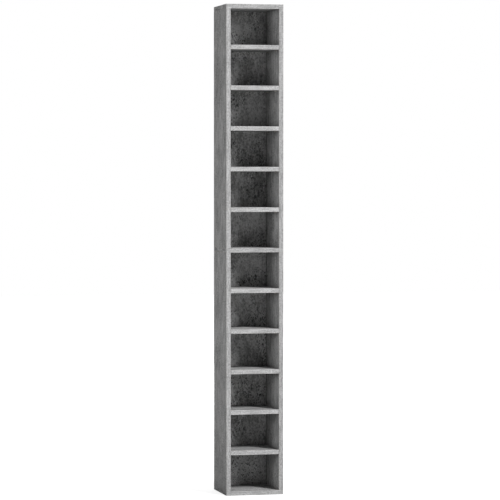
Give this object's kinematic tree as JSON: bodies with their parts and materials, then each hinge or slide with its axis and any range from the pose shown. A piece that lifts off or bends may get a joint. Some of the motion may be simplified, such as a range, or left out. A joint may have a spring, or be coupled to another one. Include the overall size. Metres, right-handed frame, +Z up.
{
  "type": "media storage tower",
  "caption": "Tall, narrow, open-fronted storage tower with equal open compartments for CD and DVD cases, loose shelves on pins and a grooved-in back.",
  "frame": {"origin": "under the middle of the tower, on the surface that it stands on", "axes": "+Z up the tower, the open front faces -Y, +X to the right seen from the front"},
  "size_m": [0.21, 0.2, 1.76],
  "materials": {
    "decor_board": "chipboard faced with matt grey concrete-look decor, edges banded to match",
    "hardboard": "thin hardboard, front face lacquered grey, rear face raw",
    "nickelled_steel": "nickel plated"
  },
  "bodies": {
    "carcass": {"bottom_board": "decor_board", "middle_board": "decor_board", "top_board": "decor_board", "left_side_lower": "decor_board", "right_side_lower": "decor_board", "left_side_upper": "decor_board", "right_side_upper": "decor_board", "back_panel_lower": "hardboard", "back_panel_upper": "hardboard", "shelf_1_pin_front_left": "nickelled_steel", "shelf_1_pin_front_right": "nickelled_steel", "shelf_1_pin_rear_left": "nickelled_steel", "shelf_1_pin_rear_right": "nickelled_steel", "shelf_2_pin_front_left": "nickelled_steel", "shelf_2_pin_front_right": "nickelled_steel", "shelf_2_pin_rear_left": "nickelled_steel", "shelf_2_pin_rear_right": "nickelled_steel", "shelf_3_pin_front_left": "nickelled_steel", "shelf_3_pin_front_right": "nickelled_steel", "shelf_3_pin_rear_left": "nickelled_steel", "shelf_3_pin_rear_right": "nickelled_steel", "shelf_4_pin_front_left": "nickelled_steel", "shelf_4_pin_front_right": "nickelled_steel", "shelf_4_pin_rear_left": "nickelled_steel", "shelf_4_pin_rear_right": "nickelled_steel", "shelf_5_pin_front_left": "nickelled_steel", "shelf_5_pin_front_right": "nickelled_steel", "shelf_5_pin_rear_left": "nickelled_steel", "shelf_5_pin_rear_right": "nickelled_steel", "shelf_6_pin_front_left": "nickelled_steel", "shelf_6_pin_front_right": "nickelled_steel", "shelf_6_pin_rear_left": "nickelled_steel", "shelf_6_pin_rear_right": "nickelled_steel", "shelf_7_pin_front_left": "nickelled_steel", "shelf_7_pin_front_right": "nickelled_steel", "shelf_7_pin_rear_left": "nickelled_steel", "shelf_7_pin_rear_right": "nickelled_steel", "shelf_8_pin_front_left": "nickelled_steel", "shelf_8_pin_front_right": "nickelled_steel", "shelf_8_pin_rear_left": "nickelled_steel", "shelf_8_pin_rear_right": "nickelled_steel", "shelf_9_pin_front_left": "nickelled_steel", "shelf_9_pin_front_right": "nickelled_steel", "shelf_9_pin_rear_left": "nickelled_steel", "shelf_9_pin_rear_right": "nickelled_steel", "shelf_10_pin_front_left": "nickelled_steel", "shelf_10_pin_front_right": "nickelled_steel", "shelf_10_pin_rear_left": "nickelled_steel", "shelf_10_pin_rear_right": "nickelled_steel"},
    "shelf_1_body": {"shelf_1": "decor_board"},
    "shelf_2_body": {"shelf_2": "decor_board"},
    "shelf_3_body": {"shelf_3": "decor_board"},
    "shelf_4_body": {"shelf_4": "decor_board"},
    "shelf_5_body": {"shelf_5": "decor_board"},
    "shelf_6_body": {"shelf_6": "decor_board"},
    "shelf_7_body": {"shelf_7": "decor_board"},
    "shelf_8_body": {"shelf_8": "decor_board"},
    "shelf_9_body": {"shelf_9": "decor_board"},
    "shelf_10_body": {"shelf_10": "decor_board"}
  },
  "joints": [
    {"name": "shelf_1_slide", "type": "slide", "parent": "carcass", "child": "shelf_1_body", "axis": [0, -1, 0], "range_m": [0, 0.2]},
    {"name": "shelf_2_slide", "type": "slide", "parent": "carcass", "child": "shelf_2_body", "axis": [0, -1, 0], "range_m": [0, 0.2]},
    {"name": "shelf_3_slide", "type": "slide", "parent": "carcass", "child": "shelf_3_body", "axis": [0, -1, 0], "range_m": [0, 0.2]},
    {"name": "shelf_4_slide", "type": "slide", "parent": "carcass", "child": "shelf_4_body", "axis": [0, -1, 0], "range_m": [0, 0.2]},
    {"name": "shelf_5_slide", "type": "slide", "parent": "carcass", "child": "shelf_5_body", "axis": [0, -1, 0], "range_m": [0, 0.2]},
    {"name": "shelf_6_slide", "type": "slide", "parent": "carcass", "child": "shelf_6_body", "axis": [0, -1, 0], "range_m": [0, 0.2]},
    {"name": "shelf_7_slide", "type": "slide", "parent": "carcass", "child": "shelf_7_body", "axis": [0, -1, 0], "range_m": [0, 0.2]},
    {"name": "shelf_8_slide", "type": "slide", "parent": "carcass", "child": "shelf_8_body", "axis": [0, -1, 0], "range_m": [0, 0.2]},
    {"name": "shelf_9_slide", "type": "slide", "parent": "carcass", "child": "shelf_9_body", "axis": [0, -1, 0], "range_m": [0, 0.2]},
    {"name": "shelf_10_slide", "type": "slide", "parent": "carcass", "child": "shelf_10_body", "axis": [0, -1, 0], "range_m": [0, 0.2]}
  ]
}
